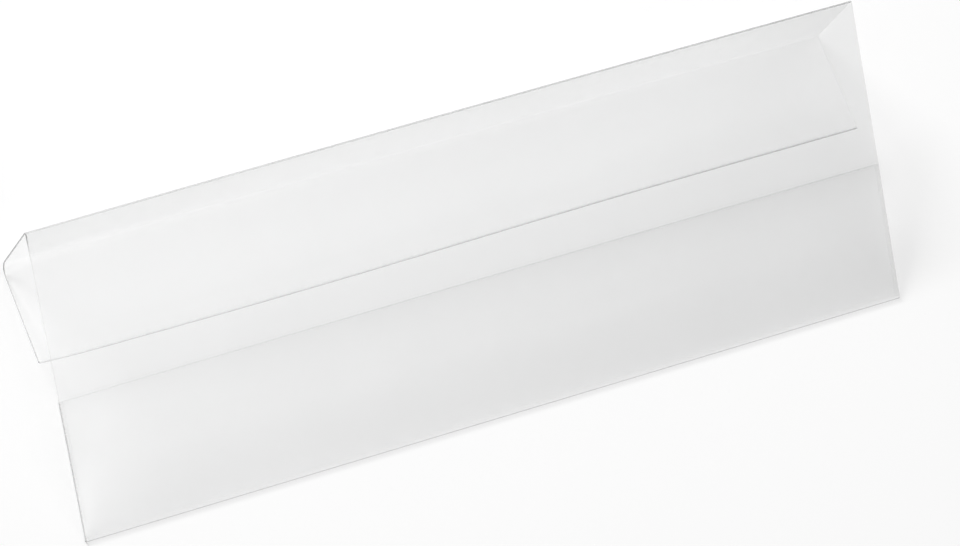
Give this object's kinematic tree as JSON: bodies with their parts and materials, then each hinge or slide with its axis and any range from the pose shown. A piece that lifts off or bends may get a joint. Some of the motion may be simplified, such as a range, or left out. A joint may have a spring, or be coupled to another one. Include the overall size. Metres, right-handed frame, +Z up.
{
  "type": "labelling pocket",
  "caption": "Long clear film pocket for a paper label, welded at its ends, with a twice folded hook along the top that hangs over a container's rim.",
  "frame": {"origin": "middle of the pocket's footprint, on the surface that it lies on", "axes": "+X along the pocket and its folds, +Y from the bottom fold towards the top fold, +Z up"},
  "size_m": [0.223, 0.0734, 0.0246],
  "materials": {
    "clear_film": "clear polypropylene film, smooth with a soft gloss",
    "creased_film": "the same film, slightly whitened where it is creased",
    "welded_film": "the same film, fused and trimmed at the ends of the pocket"
  },
  "bodies": {
    "pocket": {"front_panel": "clear_film", "bottom_fold": "creased_film", "rear_panel": "clear_film", "left_weld": "welded_film", "right_weld": "welded_film", "top_fold": "creased_film"},
    "bridge": {"bridge_panel": "clear_film", "flap_fold": "creased_film"},
    "flap": {"hanging_flap": "clear_film"}
  },
  "joints": [
    {"name": "top_fold_hinge", "type": "hinge", "parent": "pocket", "child": "bridge", "pos_m": [0, 0.03573, 0.02362], "axis": [1, 0, 0], "range_deg": [-5, 118], "stiffness_Nm_per_rad": 0.06},
    {"name": "flap_fold_hinge", "type": "hinge", "parent": "bridge", "child": "flap", "pos_m": [0, 0.03156, 0.0011], "axis": [1, 0, 0], "range_deg": [-10, 93], "stiffness_Nm_per_rad": 0.06}
  ]
}
